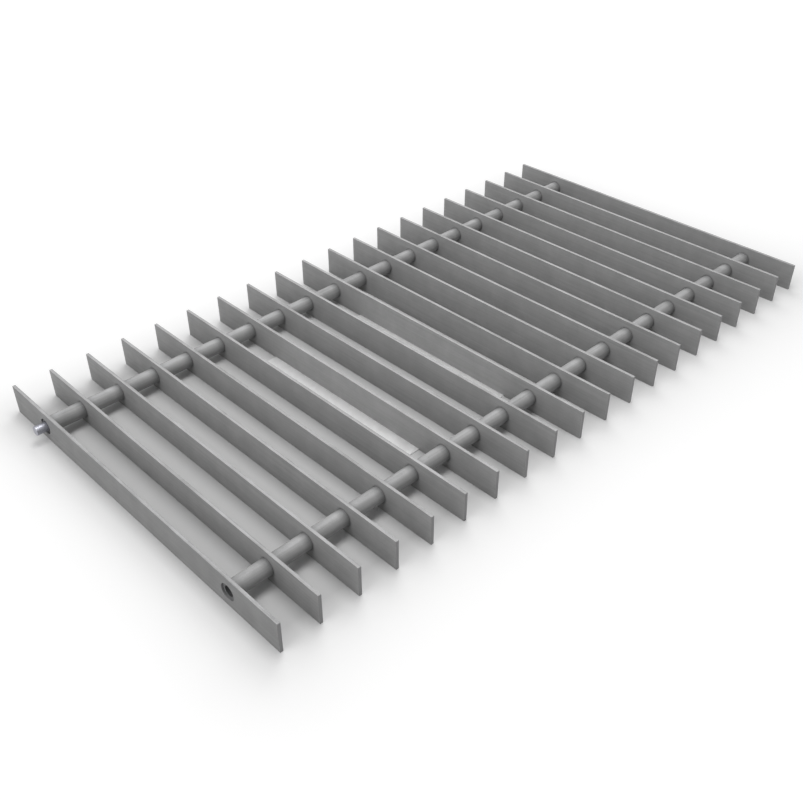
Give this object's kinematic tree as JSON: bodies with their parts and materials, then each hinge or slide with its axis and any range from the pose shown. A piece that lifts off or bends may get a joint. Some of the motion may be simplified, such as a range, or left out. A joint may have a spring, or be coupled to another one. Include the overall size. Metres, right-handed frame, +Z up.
{
  "type": "hopper grate",
  "caption": "Hopper grate: flat steel bars on edge threaded on cross tubes, a hinge rod sticking out at both sides, thin strips closing some gaps.",
  "frame": {"origin": "on the floor under the middle of the grate's box", "axes": "+X along the tubes and the hinge rod, +Y along the bars towards the hinge side, +Z up"},
  "size_m": [1.2482, 0.65, 0.05],
  "materials": {
    "bar": "dull zinc coat on hot-rolled flat bar",
    "tube": "dull zinc coat on round tube",
    "strip": "fresh zinc coat on thin sheet",
    "rod": "bright turned round bar"
  },
  "bodies": {
    "root": {"bar_01": "bar", "bar_02": "bar", "bar_03": "bar", "bar_04": "bar", "bar_05": "bar", "bar_06": "bar", "bar_07": "bar", "bar_08": "bar", "bar_09": "bar", "bar_10": "bar", "bar_11": "bar", "bar_12": "bar", "bar_13": "bar", "bar_14": "bar", "bar_15": "bar", "bar_16": "bar", "bar_17": "bar", "bar_18": "bar", "bar_19": "bar", "bar_20": "bar", "front_tube": "tube", "hinge_tube": "tube", "hinge_rod": "rod", "bottom_strip_1": "strip", "bottom_strip_2": "strip"}
  },
  "joints": []
}
